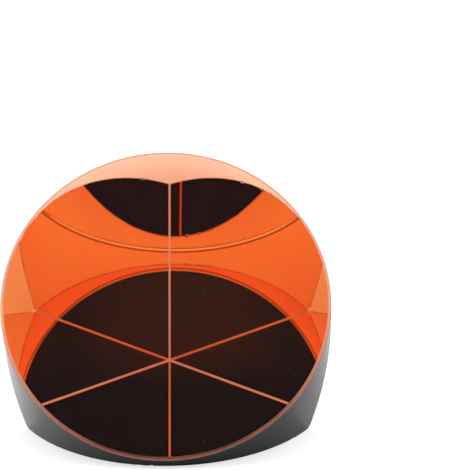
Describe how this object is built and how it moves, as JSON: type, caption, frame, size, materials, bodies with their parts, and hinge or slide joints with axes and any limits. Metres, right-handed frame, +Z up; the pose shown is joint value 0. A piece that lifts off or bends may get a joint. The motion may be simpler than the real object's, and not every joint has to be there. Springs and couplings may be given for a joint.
{
  "type": "corner cube retroreflector",
  "caption": "Solid glass corner cube prism with a round flat front and coated back faces at right angles to each other, which sends light back towards its source.",
  "frame": {"origin": "on the surface the prism lies on, under the middle of its bounding box", "axes": "+Z up from the back face it lies on; +X across the round front, along its full diameter; the front face looks towards -Y and up, about 35 degrees above level; the cube corner points towards +Y and down"},
  "size_m": [0.062, 0.056, 0.0523],
  "materials": {
    "optical_glass": "polished front, ground wall and bevels",
    "back_coat": "satin black lacquer over a copper mirror film"
  },
  "bodies": {
    "root": {"glass_prism": "optical_glass"}
  },
  "joints": []
}
